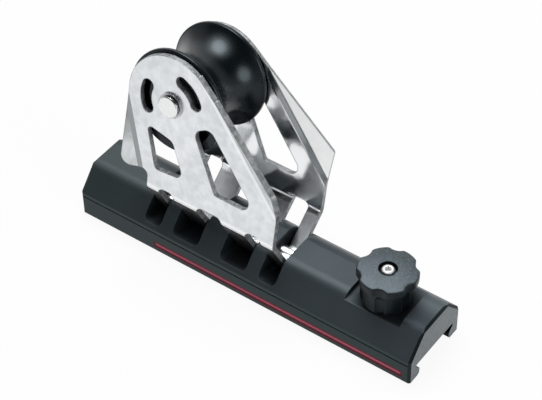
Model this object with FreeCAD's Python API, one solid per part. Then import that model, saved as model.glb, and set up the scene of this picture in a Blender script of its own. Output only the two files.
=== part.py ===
# Track car for a headsail sheet lead: a sliding aluminium car with a folded stainless
# frame that rocks on a pin, a wide sheave on an axle, and a spring plunger with a knob.
# All sizes are in millimetres. X runs along the track towards the knob, Y across it,
# Z up. The origin is at the middle of the car, on the plane of its two lower lips.
import FreeCAD, Part
import math
import os

Vector = FreeCAD.Vector
X_AXIS = Vector(1, 0, 0)
Y_AXIS = Vector(0, 1, 0)
Z_AXIS = Vector(0, 0, 1)
SIDES = {"near": -1, "far": 1}

# Car body
body_length = 172.0
body_width = 37.8
body_height = 23.6
foot_height = 12.7
top_flat_width = 18.6
foot_radius = 0.8
shoulder_radius = 0.6
ridge_radius = 8.0
end_chamfer = 1.1
groove_height = 10.7
groove_width = 0.7
groove_depth = 0.35

# Slot that takes the track
slot_width = 27.6
slot_ceiling = 7.6
slot_wall = 1.5
neck_width = 22.4
lip_tip_height = 3.6
lip_tip_radius = 1.1
lip_radius = 1.7
slot_corner_radius = 0.5

# Coloured stripe let into each foot wall
stripe_height = 2.6
stripe_depth = 0.2
stripe_middle = 4.1
stripe_length = 127.6
stripe_end_margin = 3.7

# Hinge of the folded frame
hinge_height = 16.0
hinge_pin_diameter = 7.0
frame_lean = 11.2
tilt_limit = 32.0
pin_support = 7.5
pin_chamfer = 0.6

# Grub screw that shuts the hinge bore
grub_diameter = 8.0
grub_length = 8.0
grub_hex = 4.0
grub_hex_depth = 4.0

# Folded sheet frame, measured with the frame upright
sheet = 2.4
plate_gap = 33.0
bend_height = 31.0
bend_inner_radius = 2.0
frame_left = -49.8
frame_right = 15.9
plate_radius = 22.0
corner_height = 59.2
corner_radius = 2.0
boot_height = 38.8
boot_radius = 5.2
boot_fillet = 3.0
right_crease_height = 44.45
right_crease_angle = 48.2
left_crease_height = 73.0
left_crease_set_out = 2.6
wing_angle = 31.0
bend_band = 2.2
bend_steps = 2

# Straps of the frame and the fins of the car between them
outer_strap = 6.05
inner_strap = 11.9
middle_gap = 13.2
strap_gap_top = 32.9
strap_gap_radius = 3.0
strap_side_gap = 1.0
end_side_gap = 1.8
pocket_radius = 2.0
floor_gap = 0.75
ramp_margin = 1.0
ramp_edge_radius = 2.5
ramp_edge_relief = 0.9

# Axle and sheave
axle_x = -40.6
axle_height = 75.9
axle_diameter = 9.6
axle_proud = 2.6
axle_chamfer = 0.4
ring_thickness = 0.9
ring_outer_diameter = 11.4
ring_groove_diameter = 8.0
ring_mouth_angle = 50.0
sheave_diameter = 46.8
sheave_width = 32.0
sheave_rim = 2.3
throat_diameter = 32.4
rim_radius = 0.7
web_depth = 2.2
web_inner_diameter = 26.8
web_outer_diameter = 39.2
sleeve_diameter = 13.0
roller_diameter = 3.2
roller_count = 14
roller_set_back = 0.9
race_wall = 1.7
race_set_back = 2.0
washer_side_gap = 0.3
washer_end_gap = 0.1

# Kidney slots and windows of each plate
kidney_mid_radius = 13.1
kidney_width = 5.7
left_kidney_angles = (161.0, 206.5)
right_kidney_angles = (24.0, 71.0)
left_window = [(-52.2, 61.7, 2.0), (-46.3, 41.3, 2.4), (-31.4, 42.7, 3.0), (-38.4, 58.7, 3.5)]
right_window = [(-28.6, 68.5, 4.0), (-15.2, 42.8, 2.0), (6.5, 42.8, 3.8), (-20.3, 73.2, 4.0)]

# Plunger and its guide bushing
knob_end_distance = 23.9
recess_floor = 21.2
recess_width = 26.8
plunger_diameter = 8.0
nose_diameter = 7.6
nose_set_back = 0.2
nose_tip_height = 2.6
nose_chamfer = 1.0
collar_diameter = 10.4
collar_height = 0.9
spring_seat_height = 0.7
plunger_travel = 5.5
stem_diameter = 6.0
ledge_height = 10.6
bushing_diameter = 14.0
bushing_flange_diameter = 17.0
bushing_flange = 1.5
bushing_top_wall = 1.8
spring_wire = 0.8
spring_wire_sides = 8
spring_mean_diameter = 8.4
spring_turns = 4.5
spring_slack = 0.2

# Knob
knob_diameter = 25.9
knob_dome = 0.85
knob_rim_height = 3.6
knob_rim_radius = 0.8
knob_skirt_inset = 1.8
knob_lobes = 6
knob_first_valley = 46.7
valley_depth = 1.45
valley_radius = 4.5
valley_edge_radius = 1.6
knob_top = 38.1
knob_floor_gap = 0.5
knob_foot_chamfer = 0.6
flute_radius = 4.0
flute_depth = 1.0
flute_top_drop = 4.6
knob_cavity_diameter = 17.8
knob_cavity_gap = 0.7
insert_diameter = 10.0
insert_height = 7.6
stem_end_gap = 0.5
screw_recess_diameter = 8.1
screw_recess_depth = 3.6
screw_head_diameter = 5.4
screw_head_height = 3.2
screw_head_chamfer = 0.3
screw_hex = 2.8
screw_hex_depth = 1.8
screw_shank_diameter = 3.0
screw_shank_depth = 9.0
screw_end_gap = 1.0

# Fits, as radial clearances
fixed_fit = 0.02
running_fit = 0.06
seat_gap = 0.05

# Sizes that follow from the ones above
half_length = body_length / 2
half_width = body_width / 2
knob_x = half_length - knob_end_distance
stripe_end = half_length - stripe_end_margin
stripe_start = stripe_end - stripe_length
hinge_radius = hinge_pin_diameter / 2
wrap_inner_radius = hinge_radius + running_fit
wrap_outer_radius = wrap_inner_radius + sheet
plate_outer = plate_gap / 2 + sheet
frame_middle = (frame_left + frame_right) / 2
frame_half_length = (frame_right - frame_left) / 2
knob_bottom = recess_floor + knob_floor_gap
sleeve_radius = sleeve_diameter / 2
race_inner_radius = sleeve_radius + roller_diameter + 2 * running_fit
race_outer_radius = race_inner_radius + race_wall
race_length = sheave_width - 2 * race_set_back
roller_length = race_length - 2 * roller_set_back
screw_seat = knob_top - screw_recess_depth
collar_bottom = ledge_height + seat_gap
spring_seat_bottom = collar_bottom + collar_height + seat_gap
spring_bottom = spring_seat_bottom + spring_seat_height
pressed_spring = (spring_turns + 1) * spring_wire + spring_slack
spring_top = spring_bottom + plunger_travel + pressed_spring
bushing_top = spring_top + bushing_top_wall
knob_cavity_top = bushing_top + knob_cavity_gap
insert_top = knob_cavity_top + insert_height
stem_top = insert_top - stem_end_gap


def in_yz(x):
    """Place a flat point across the car at the station x."""
    return lambda y, z: Vector(x, y, z)


def in_xz(y):
    """Place a flat point in an upright plane along the car."""
    return lambda x, z: Vector(x, y, z)


def round_corner(before, corner, after):
    """Return the start, middle and end of the arc that rounds one corner."""
    point = Vector(corner[0], corner[1], 0)
    back = (Vector(before[0], before[1], 0) - point).normalize()
    ahead = (Vector(after[0], after[1], 0) - point).normalize()
    half_angle = back.getAngle(ahead) / 2
    radius = corner[2]
    reach = radius / math.tan(half_angle)
    middle = (back + ahead).normalize() * (radius / math.sin(half_angle) - radius)
    return point + back * reach, point + middle, point + ahead * reach


def rounded_face(corners, place):
    """Make a face from corners (a, b) or (a, b, radius), placed by a function."""
    stations = []
    for index, corner in enumerate(corners):
        before = corners[index - 1]
        after = corners[(index + 1) % len(corners)]
        if len(corner) == 2:
            point = Vector(corner[0], corner[1], 0)
            stations.append((point, None, point))
        else:
            stations.append(round_corner(before, corner, after))
    edges = []
    for index, (start, middle, end) in enumerate(stations):
        if middle is not None:
            arc = Part.Arc(place(start.x, start.y), place(middle.x, middle.y), place(end.x, end.y))
            edges.append(arc.toShape())
        following = stations[(index + 1) % len(stations)][0]
        if (following - end).Length > 1e-6:
            edges.append(Part.makeLine(place(end.x, end.y), place(following.x, following.y)))
    return Part.Face(Part.Wire(edges))


def box(low, high):
    """Make a box from its lowest and highest corners."""
    size = Vector(*high) - Vector(*low)
    return Part.makeBox(size.x, size.y, size.z, Vector(*low))


def rod(radius, length, start, direction):
    return Part.makeCylinder(radius, length, start, direction)


def tube(outer_radius, inner_radius, length, start, direction):
    """Make a plain tube from its start point along a direction."""
    outer = rod(outer_radius, length, start, direction)
    return outer.cut(rod(inner_radius, length, start, direction))


def hex_prism(across_flats, length, start, direction):
    """Make a hexagonal prism for a key socket, with its axis along a direction."""
    corner_distance = across_flats / math.sqrt(3)
    turn = FreeCAD.Rotation(Z_AXIS, direction)
    points = []
    for step in range(7):
        angle = math.radians(60 * step)
        flat = Vector(corner_distance * math.cos(angle), corner_distance * math.sin(angle), 0)
        points.append(start + turn.multVec(flat))
    return Part.Face(Part.makePolygon(points)).extrude(direction * length)


def edges_where(shape, test):
    """List the edges whose centre passes a test."""
    return [edge for edge in shape.Edges if test(edge.CenterOfMass)]


def strap_spans():
    """List the start and end along X of the four straps of the frame."""
    inner_start = middle_gap / 2
    outer_start = frame_half_length - outer_strap
    right_side = [(inner_start, inner_start + inner_strap), (outer_start, frame_half_length)]
    left_side = [(-end, -start) for start, end in reversed(right_side)]
    return [(frame_middle + start, frame_middle + end) for start, end in left_side + right_side]


def pocket_spans():
    """List the start and end along X of the pockets that the straps swing in."""
    straps = strap_spans()
    spans = []
    for index, (start, end) in enumerate(straps):
        left_gap = end_side_gap if index == 0 else strap_side_gap
        right_gap = end_side_gap if index == len(straps) - 1 else strap_side_gap
        spans.append((start - left_gap, end + right_gap))
    return spans


def leg_angle():
    """Slant of the straps from upright, tangent to their wrap round the pin."""
    mid_radius = wrap_inner_radius + sheet / 2
    across = plate_gap / 2 + sheet / 2
    up = bend_height - hinge_height
    return math.acos(mid_radius / math.hypot(across, up)) - math.atan2(up, across)


def round_long_edges(bar, y, z, radius):
    """Round the pair of edges that run the length of the bar at height z and at +-y."""
    on_edge = lambda c: abs(c.x) < 0.01 and abs(abs(c.y) - y) < 0.01 and abs(c.z - z) < 0.01
    return bar.makeFillet(radius, edges_where(bar, on_edge))


def outer_body():
    """Solid bar of the car's outer section, with chamfered upper ends."""
    ridge = top_flat_width / 2
    section = [
        (-half_width, 0),
        (-half_width, foot_height),
        (-ridge, body_height),
        (ridge, body_height),
        (half_width, foot_height),
        (half_width, 0),
    ]
    bar = rounded_face(section, in_yz(-half_length)).extrude(X_AXIS * body_length)
    ends = edges_where(bar, lambda c: abs(abs(c.x) - half_length) < 0.01 and c.z > 0.01)
    bar = bar.makeChamfer(end_chamfer, ends)
    bar = round_long_edges(bar, ridge, body_height, ridge_radius)
    bar = round_long_edges(bar, half_width, foot_height, shoulder_radius)
    return round_long_edges(bar, half_width, 0, foot_radius)


def track_slot():
    """Space that the track and its lips fill, open at both ends."""
    slot = slot_width / 2
    neck = neck_width / 2
    mouth = neck + 2 * lip_radius
    below = -1.0
    left_side = [
        (-mouth, below),
        (-mouth, 0),
        (-neck, 0, lip_radius),
        (-neck, lip_tip_height, lip_tip_radius),
        (-slot, slot_ceiling - slot_wall),
        (-slot, slot_ceiling, slot_corner_radius),
    ]
    section = left_side + [(-corner[0],) + corner[1:] for corner in reversed(left_side)]
    return rounded_face(section, in_yz(-half_length - 1)).extrude(X_AXIS * (body_length + 2))


def pocket(start, end):
    """Space for one strap: a round floor under the pin and a ramp out to each side."""
    radius = wrap_outer_radius + floor_gap
    ramp = leg_angle() + math.radians(tilt_limit + ramp_margin)
    reach = body_width
    above = body_height * 2
    bottom = hinge_height - radius / math.sin(ramp)
    rise = 1 / math.tan(ramp)
    fall = (body_height - foot_height) / (half_width - top_flat_width / 2)
    edge = (foot_height + half_width * fall - bottom) / (rise + fall)
    edge_height = bottom + edge * rise
    beyond = edge_height - (reach - edge) * fall * ramp_edge_relief
    section = [
        (-reach, beyond),
        (-edge, edge_height, ramp_edge_radius),
        (0, bottom, radius),
        (edge, edge_height, ramp_edge_radius),
        (reach, beyond),
        (reach, above),
        (-reach, above),
    ]
    space = rounded_face(section, in_yz(start)).extrude(X_AXIS * (end - start))
    on_side = lambda c: min(abs(c.x - start), abs(c.x - end)) < 0.01
    low = edges_where(space, lambda c: on_side(c) and c.z < body_height and abs(c.y) < reach - 0.1)
    return space.makeFillet(pocket_radius, low)


def shoulder_groove(side):
    """Fine groove that runs the length of one foot wall under its shoulder."""
    wall = side * half_width
    inner = wall - side * groove_depth
    low = (-half_length - 1, min(wall + side, inner), groove_height - groove_width / 2)
    high = (half_length + 1, max(wall + side, inner), groove_height + groove_width / 2)
    return box(low, high)


def stripe_solid(side):
    """Stripe on one foot wall, let in flush."""
    wall = side * half_width
    inner = wall - side * stripe_depth
    low = (stripe_start, min(wall, inner), stripe_middle - stripe_height / 2)
    high = (stripe_end, max(wall, inner), stripe_middle + stripe_height / 2)
    return box(low, high)


def hinge_pin_ends():
    """Start and end along X of the pin, which runs past the end pockets."""
    pockets = pocket_spans()
    return pockets[0][0] - pin_support, pockets[-1][1] + pin_support


def car_body():
    """Extruded car with its slot, pockets, knob recess and bores."""
    body = outer_body().cut(track_slot())
    for start, end in pocket_spans():
        body = body.cut(pocket(start, end))
    recess_low = (knob_x - recess_width / 2, -half_width - 1, recess_floor)
    recess_high = (knob_x + recess_width / 2, half_width + 1, body_height + 1)
    body = body.cut(box(recess_low, recess_high))
    for side in SIDES.values():
        body = body.cut(stripe_solid(side)).cut(shoulder_groove(side))
    pin_start, pin_end = hinge_pin_ends()
    pin_base = Vector(pin_start, 0, hinge_height)
    body = body.cut(rod(hinge_radius + fixed_fit, pin_end - pin_start, pin_base, X_AXIS))
    screw_base = Vector(-half_length, 0, hinge_height)
    screw_reach = pin_start + half_length
    body = body.cut(rod(grub_diameter / 2 + fixed_fit, screw_reach, screw_base, X_AXIS))
    through = Vector(knob_x, 0, 0)
    body = body.cut(rod(plunger_diameter / 2 + running_fit, body_height, through, Z_AXIS))
    ledge = Vector(knob_x, 0, ledge_height)
    return body.cut(rod(bushing_diameter / 2 + fixed_fit, body_height, ledge, Z_AXIS))


def hinge_pin():
    """Round pin that carries the straps between the fins of the car."""
    start, end = hinge_pin_ends()
    pin = rod(hinge_radius, end - start, Vector(start, 0, hinge_height), X_AXIS)
    rims = edges_where(pin, lambda c: min(abs(c.x - start), abs(c.x - end)) < 0.01)
    return pin.makeChamfer(pin_chamfer, rims)


def hinge_grub_screw():
    """Headless screw behind the hinge pin, with a key socket in its outer end."""
    seat = hinge_pin_ends()[0] - seat_gap
    start = Vector(seat - grub_length, 0, hinge_height)
    screw = rod(grub_diameter / 2, grub_length, start, X_AXIS)
    screw = screw.makeChamfer(pin_chamfer, edges_where(screw, lambda c: abs(c.x - start.x) < 0.01))
    return screw.cut(hex_prism(grub_hex, grub_hex_depth, start, X_AXIS))


def plate_outline():
    """Flat outline of a plate above its bends, before its two wings are folded."""
    to_corner = Vector(frame_right - axle_x, corner_height - axle_height, 0)
    tangent_turn = math.acos(plate_radius / to_corner.Length)
    touch_angle = math.atan2(to_corner.y, to_corner.x) + tangent_turn
    left = axle_x - plate_radius
    half_turn = (math.pi - touch_angle) / 2
    crown = axle_height + plate_radius * math.tan(half_turn)
    return [
        (frame_left, bend_height),
        (frame_left, boot_height, boot_fillet),
        (left, boot_height, boot_radius),
        (left, crown, plate_radius),
        (frame_right, corner_height, corner_radius),
        (frame_right, bend_height),
    ]


def kidney_slot(start_angle, end_angle):
    """Curved slot round the axle, with round ends, through both plates."""
    depth = plate_outer * 2
    centre = Vector(axle_x, -plate_outer, axle_height)
    outer = kidney_mid_radius + kidney_width / 2
    inner = kidney_mid_radius - kidney_width / 2
    ring = tube(outer, inner, depth, centre, Y_AXIS)
    first = math.radians(start_angle)
    last = math.radians(end_angle)
    far = outer * 2
    corners = [(axle_x, axle_height)]
    for angle in (first, (first + last) / 2, last):
        corners.append((axle_x + far * math.cos(angle), axle_height + far * math.sin(angle)))
    slot = ring.common(rounded_face(corners, in_xz(-plate_outer)).extrude(Y_AXIS * depth))
    for angle in (first, last):
        out = Vector(math.cos(angle), 0, math.sin(angle)) * kidney_mid_radius
        slot = slot.fuse(rod(kidney_width / 2, depth, centre + out, Y_AXIS))
    return slot


def crease_section(plate, start, along, reach):
    """Cross-section of a flat plate along one crease line."""
    depth = Y_AXIS * sheet
    first = start - along * reach
    last = start + along * reach
    strip = Part.Face(Part.makePolygon([first, last, last + depth, first + depth, first]))
    return plate.common(strip).Faces[0]


def fold_wing(plate, foot, top):
    """Fold outwards, in steps, the part of the near plate beyond the line from foot to top."""
    outer_face = -plate_outer
    along = (Vector(top[0], 0, top[1]) - Vector(foot[0], 0, foot[1])).normalize()
    beyond = along.cross(Y_AXIS)
    if beyond.x * (foot[0] - frame_middle) < 0:
        beyond = beyond * -1
    turn = along if along.cross(beyond).y < 0 else along * -1
    reach = plate_radius * 4
    step_angle = wing_angle / bend_steps
    middle = Vector(foot[0], outer_face, foot[1])
    strips = []
    wing = plate
    for step in range(bend_steps):
        start = middle + beyond * (bend_band * step / (bend_steps - 1))
        corners = [start - along * reach, start + along * reach]
        corners += [corners[1] + beyond * reach, corners[0] + beyond * reach, corners[0]]
        cutter = Part.Face(Part.makePolygon(corners)).extrude(Y_AXIS * sheet)
        strips.append((start, wing.cut(cutter), crease_section(wing, start, along, reach)))
        wing = wing.common(cutter)
    for start, strip, section in reversed(strips):
        wing.rotate(start, turn, step_angle)
        bend = section.revolve(start, turn, step_angle)
        wing = strip.fuse([bend, wing])
    return wing


def near_plate():
    """Near side plate with its windows, slots and two folded wings."""
    plate = rounded_face(plate_outline(), in_xz(-plate_outer)).extrude(Y_AXIS * sheet)
    rise = math.tan(math.radians(right_crease_angle))
    right_foot = (frame_right, right_crease_height)
    right_top = (frame_right - frame_half_length, right_crease_height + frame_half_length * rise)
    plate = fold_wing(plate, right_foot, right_top)
    left_foot = (frame_left - left_crease_set_out, boot_height)
    left_top = (axle_x - plate_radius, left_crease_height)
    plate = fold_wing(plate, left_foot, left_top)
    for window in (left_window, right_window):
        opening = rounded_face(window, in_xz(-plate_outer)).extrude(Y_AXIS * sheet)
        plate = plate.cut(opening)
    return plate


def strap_band():
    """Sheet that runs down from both plates and wraps under the hinge pin."""
    slant = leg_angle()

    def bend_corner(across, wrap_radius):
        return hinge_height + (across * math.cos(slant) - wrap_radius) / math.sin(slant)

    def half(across, wrap_radius, bend_radius):
        top = bend_height + sheet * 2
        return (across, top), (across, bend_corner(across, wrap_radius), bend_radius)

    outer_top, outer_bend = half(plate_outer, wrap_outer_radius, bend_inner_radius + sheet)
    inner_top, inner_bend = half(plate_gap / 2, wrap_inner_radius, bend_inner_radius)
    outer_bottom = (0, hinge_height - wrap_outer_radius / math.sin(slant), wrap_outer_radius)
    inner_bottom = (0, hinge_height - wrap_inner_radius / math.sin(slant), wrap_inner_radius)
    mirrored = lambda corner: (-corner[0],) + tuple(corner[1:])
    section = [
        mirrored(outer_top), mirrored(outer_bend), outer_bottom, outer_bend, outer_top,
        inner_top, inner_bend, inner_bottom, mirrored(inner_bend), mirrored(inner_top),
    ]
    return rounded_face(section, in_yz(frame_left)).extrude(X_AXIS * (frame_right - frame_left))


def lean(shape):
    """Tip a piece of the frame from upright to its resting lean."""
    shape.rotate(Vector(0, 0, hinge_height), X_AXIS, -frame_lean)
    return shape


def folded_frame():
    """One sheet: two side plates joined by four straps that wrap under the pin."""
    near = near_plate()
    far = near.mirror(Vector(0, 0, 0), Y_AXIS)
    frame = strap_band().fuse([near, far])
    straps = strap_spans()
    for (_, gap_start), (gap_end, _) in zip(straps[:-1], straps[1:]):
        section = [
            (gap_start, 0),
            (gap_end, 0),
            (gap_end, strap_gap_top, strap_gap_radius),
            (gap_start, strap_gap_top, strap_gap_radius),
        ]
        space = rounded_face(section, in_xz(-plate_outer * 2)).extrude(Y_AXIS * plate_outer * 4)
        frame = frame.cut(space)
    for angles in (left_kidney_angles, right_kidney_angles):
        frame = frame.cut(kidney_slot(*angles))
    bore_start = Vector(axle_x, -plate_outer, axle_height)
    frame = frame.cut(rod(axle_diameter / 2 + fixed_fit, plate_outer * 2, bore_start, Y_AXIS))
    return lean(frame.removeSplitter())


def axle_point(y):
    """Point on the axis of the axle, with the frame upright."""
    return Vector(axle_x, y, axle_height)


def axle():
    """Axle through both plates, grooved near each end for a spring ring."""
    reach = plate_outer + axle_proud
    pin = rod(axle_diameter / 2, reach * 2, axle_point(-reach), Y_AXIS)
    pin = pin.makeChamfer(axle_chamfer, edges_where(pin, lambda c: abs(abs(c.y) - reach) < 0.01))
    for side in SIDES.values():
        middle = side * (plate_outer + seat_gap + ring_thickness / 2)
        start = axle_point(middle - ring_thickness / 2 - seat_gap)
        width = ring_thickness + 2 * seat_gap
        groove = tube(axle_diameter, ring_groove_diameter / 2, width, start, Y_AXIS)
        pin = pin.cut(groove)
    return lean(pin)


def retaining_rings():
    """Open spring rings in the two grooves of the axle."""
    rings = []
    half_mouth = math.radians(ring_mouth_angle / 2)
    for side in SIDES.values():
        middle = side * (plate_outer + seat_gap + ring_thickness / 2)
        start = axle_point(middle - ring_thickness / 2)
        ring = tube(ring_outer_diameter / 2, ring_groove_diameter / 2 + fixed_fit, ring_thickness,
                    start, Y_AXIS)
        reach = ring_outer_diameter
        spread = reach * math.tan(half_mouth)
        mouth = [
            (axle_x, axle_height),
            (axle_x - spread, axle_height - reach),
            (axle_x + spread, axle_height - reach),
        ]
        ring = ring.cut(rounded_face(mouth, in_xz(start.y)).extrude(Y_AXIS * ring_thickness))
        rings.append(lean(ring))
    return Part.makeCompound(rings)


def inner_sleeve():
    """Hard sleeve on the axle that spaces the plates and carries the rollers."""
    length = plate_gap - 2 * seat_gap
    bore = axle_diameter / 2 + fixed_fit
    return lean(tube(sleeve_radius, bore, length, axle_point(-length / 2), Y_AXIS))


def bearing_rollers():
    """Ring of long rollers between the inner sleeve and the race."""
    circle = sleeve_radius + running_fit + roller_diameter / 2
    rollers = []
    for step in range(roller_count):
        angle = 2 * math.pi * step / roller_count
        out = Vector(math.cos(angle), 0, math.sin(angle)) * circle
        start = axle_point(-roller_length / 2) + out
        rollers.append(lean(rod(roller_diameter / 2, roller_length, start, Y_AXIS)))
    return Part.makeCompound(rollers)


def outer_race():
    """Race pressed into the sheave, short of its sides so that the thrust washers sit in its bore."""
    start = axle_point(-race_length / 2)
    return lean(tube(race_outer_radius, race_inner_radius, race_length, start, Y_AXIS))


def thrust_washer(side):
    """Slippery washer on the sleeve, let into the sheave's side between the race and one plate."""
    inner_end = race_length / 2 + washer_end_gap
    outer_end = plate_gap / 2 - washer_end_gap
    start = inner_end if side > 0 else -outer_end
    radius = race_outer_radius - washer_side_gap
    bore = sleeve_radius + running_fit
    return lean(tube(radius, bore, outer_end - inner_end, axle_point(start), Y_AXIS))


def sheave():
    """Wide sheave turned with a deep round throat and thin rims."""
    bore = race_outer_radius
    rim = sheave_diameter / 2
    end = sheave_width / 2
    rim_inside = end - sheave_rim
    corners = [
        (bore, -end),
        (rim, -end, rim_radius),
        (rim, -rim_inside, rim_radius),
        (rim - rim_radius, -rim_inside),
        (rim - rim_radius, rim_inside),
        (rim, rim_inside, rim_radius),
        (rim, end, rim_radius),
        (bore, end),
    ]
    place = lambda r, y: Vector(axle_x + r, y, axle_height)
    blank = rounded_face(corners, place).revolve(axle_point(0), Y_AXIS, 360)
    throat_edge = rim - rim_radius
    depth = throat_edge - throat_diameter / 2
    arc = Part.Arc(
        place(throat_edge, -rim_inside), place(throat_edge - depth, 0), place(throat_edge, rim_inside))
    beyond = rim + rim_radius
    path = [
        place(throat_edge, rim_inside), place(beyond, rim_inside),
        place(beyond, -rim_inside), place(throat_edge, -rim_inside),
    ]
    closing = [Part.makeLine(a, b) for a, b in zip(path[:-1], path[1:])]
    throat_face = Part.Face(Part.Wire([arc.toShape()] + closing))
    turned = blank.cut(throat_face.revolve(axle_point(0), Y_AXIS, 360))
    for side in SIDES.values():
        start = axle_point(end - web_depth if side > 0 else -end)
        web = tube(web_outer_diameter / 2, web_inner_diameter / 2, web_depth, start, Y_AXIS)
        turned = turned.cut(web)
    return lean(turned)


def knob_point(z):
    """Point on the axis of the plunger."""
    return Vector(knob_x, 0, z)


def guide_bushing():
    """Flanged bushing screwed into the car over the plunger and its spring."""
    body = rod(bushing_diameter / 2, recess_floor - ledge_height, knob_point(ledge_height), Z_AXIS)
    flange = rod(bushing_flange_diameter / 2, bushing_flange, knob_point(recess_floor), Z_AXIS)
    neck = rod(bushing_diameter / 2, bushing_top - recess_floor, knob_point(recess_floor), Z_AXIS)
    bushing = body.fuse([flange, neck]).removeSplitter()
    cavity_radius = collar_diameter / 2 + 2 * running_fit
    cavity = rod(cavity_radius, spring_top - ledge_height, knob_point(ledge_height), Z_AXIS)
    bushing = bushing.cut(cavity)
    bore = rod(stem_diameter / 2 + running_fit, bushing_top, knob_point(ledge_height), Z_AXIS)
    return bushing.cut(bore)


def plunger_pin():
    """Locking pin: a thinner nose, a collar under the spring and a stem for the knob."""
    nose_top = slot_ceiling - nose_set_back
    nose = rod(nose_diameter / 2, nose_top - nose_tip_height, knob_point(nose_tip_height), Z_AXIS)
    foot = edges_where(nose, lambda c: abs(c.z - nose_tip_height) < 0.01)
    nose = nose.makeChamfer(nose_chamfer, foot)
    shank = rod(plunger_diameter / 2, collar_bottom - nose_top, knob_point(nose_top), Z_AXIS)
    collar = rod(collar_diameter / 2, collar_height, knob_point(collar_bottom), Z_AXIS)
    stem_bottom = collar_bottom + collar_height
    stem = rod(stem_diameter / 2, stem_top - stem_bottom, knob_point(stem_bottom), Z_AXIS)
    pin = nose.fuse([shank, collar, stem]).removeSplitter()
    hole_bottom = screw_seat - screw_shank_depth - screw_end_gap
    hole_radius = screw_shank_diameter / 2 + fixed_fit
    return pin.cut(rod(hole_radius, stem_top - hole_bottom, knob_point(hole_bottom), Z_AXIS))


def spring_seat():
    """Washer under the spring, loose on the stem so that the plunger can turn."""
    bore = stem_diameter / 2 + running_fit
    return tube(collar_diameter / 2, bore, spring_seat_height, knob_point(spring_seat_bottom), Z_AXIS)


def plunger_spring():
    """Compression spring round the stem, between its seat and the bushing."""
    low = spring_bottom + seat_gap + spring_wire / 2
    high = spring_top - seat_gap - spring_wire / 2
    radius = spring_mean_diameter / 2
    helix = Part.makeHelix((high - low) / spring_turns, high - low, radius)
    corners = []
    for step in range(spring_wire_sides + 1):
        angle = 2 * math.pi * step / spring_wire_sides
        out = Vector(math.cos(angle), 0, math.sin(angle)) * (spring_wire / 2)
        corners.append(Vector(radius, 0, 0) + out)
    section = Part.makePolygon(corners)
    coil = Part.Wire(helix).makePipeShell([section], True, True)
    coil.translate(knob_point(low))
    return coil


def lobed_face(z):
    """Outline of the knob's rim: a circle with six shallow hollows and rounded corners."""
    rim = knob_diameter / 2
    hollow_centre = rim - valley_depth + valley_radius
    corner_centre = rim - valley_edge_radius
    span = valley_radius + valley_edge_radius
    cosine = (hollow_centre ** 2 + corner_centre ** 2 - span ** 2) / (2 * hollow_centre * corner_centre)
    spread = math.acos(cosine)
    half_step = math.pi / knob_lobes
    edges = []

    def spot(radius, angle):
        return Vector(knob_x + radius * math.cos(angle), radius * math.sin(angle), z)

    def corner(valley_angle, way):
        middle = spot(corner_centre, valley_angle + way * spread)
        hollow = spot(hollow_centre, valley_angle)
        on_rim = spot(rim, valley_angle + way * spread)
        on_hollow = hollow + (middle - hollow) * (valley_radius / span)
        out = (on_rim - middle) + (on_hollow - middle)
        return on_rim, middle + out.normalize() * valley_edge_radius, on_hollow

    for step in range(knob_lobes):
        angle = math.radians(knob_first_valley) + 2 * half_step * step
        rim_end, before, hollow_start = corner(angle, -1)
        next_rim, after, hollow_end = corner(angle, 1)
        edges.append(Part.Arc(rim_end, before, hollow_start).toShape())
        edges.append(Part.Arc(hollow_start, spot(rim - valley_depth, angle), hollow_end).toShape())
        edges.append(Part.Arc(hollow_end, after, next_rim).toShape())
        following = corner(angle + 2 * half_step, -1)[0]
        edges.append(Part.Arc(next_rim, spot(rim, angle + half_step), following).toShape())
    return Part.Face(Part.Wire(edges))


def knob_blank():
    """Round form of the knob: a domed top, an upright rim and a narrower skirt under it."""
    rim = knob_diameter / 2
    skirt = rim - knob_skirt_inset
    rim_top = knob_top - knob_dome
    rim_bottom = rim_top - knob_rim_height
    dome_radius = (rim ** 2 + knob_dome ** 2) / (2 * knob_dome)
    half_way = knob_top - dome_radius + math.sqrt(dome_radius ** 2 - (rim / 2) ** 2)
    place = lambda r, z: Vector(knob_x + r, 0, z)
    dome = Part.Arc(place(0, knob_top), place(rim / 2, half_way), place(rim, rim_top)).toShape()
    points = [
        place(rim, rim_top), place(rim, rim_bottom), place(skirt, rim_bottom - knob_skirt_inset),
        place(skirt, knob_bottom + knob_foot_chamfer), place(skirt - knob_foot_chamfer, knob_bottom),
        place(0, knob_bottom), place(0, knob_top),
    ]
    sides = [Part.makeLine(a, b) for a, b in zip(points[:-1], points[1:])]
    return Part.Face(Part.Wire([dome] + sides)).revolve(knob_point(0), Z_AXIS, 360)


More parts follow.
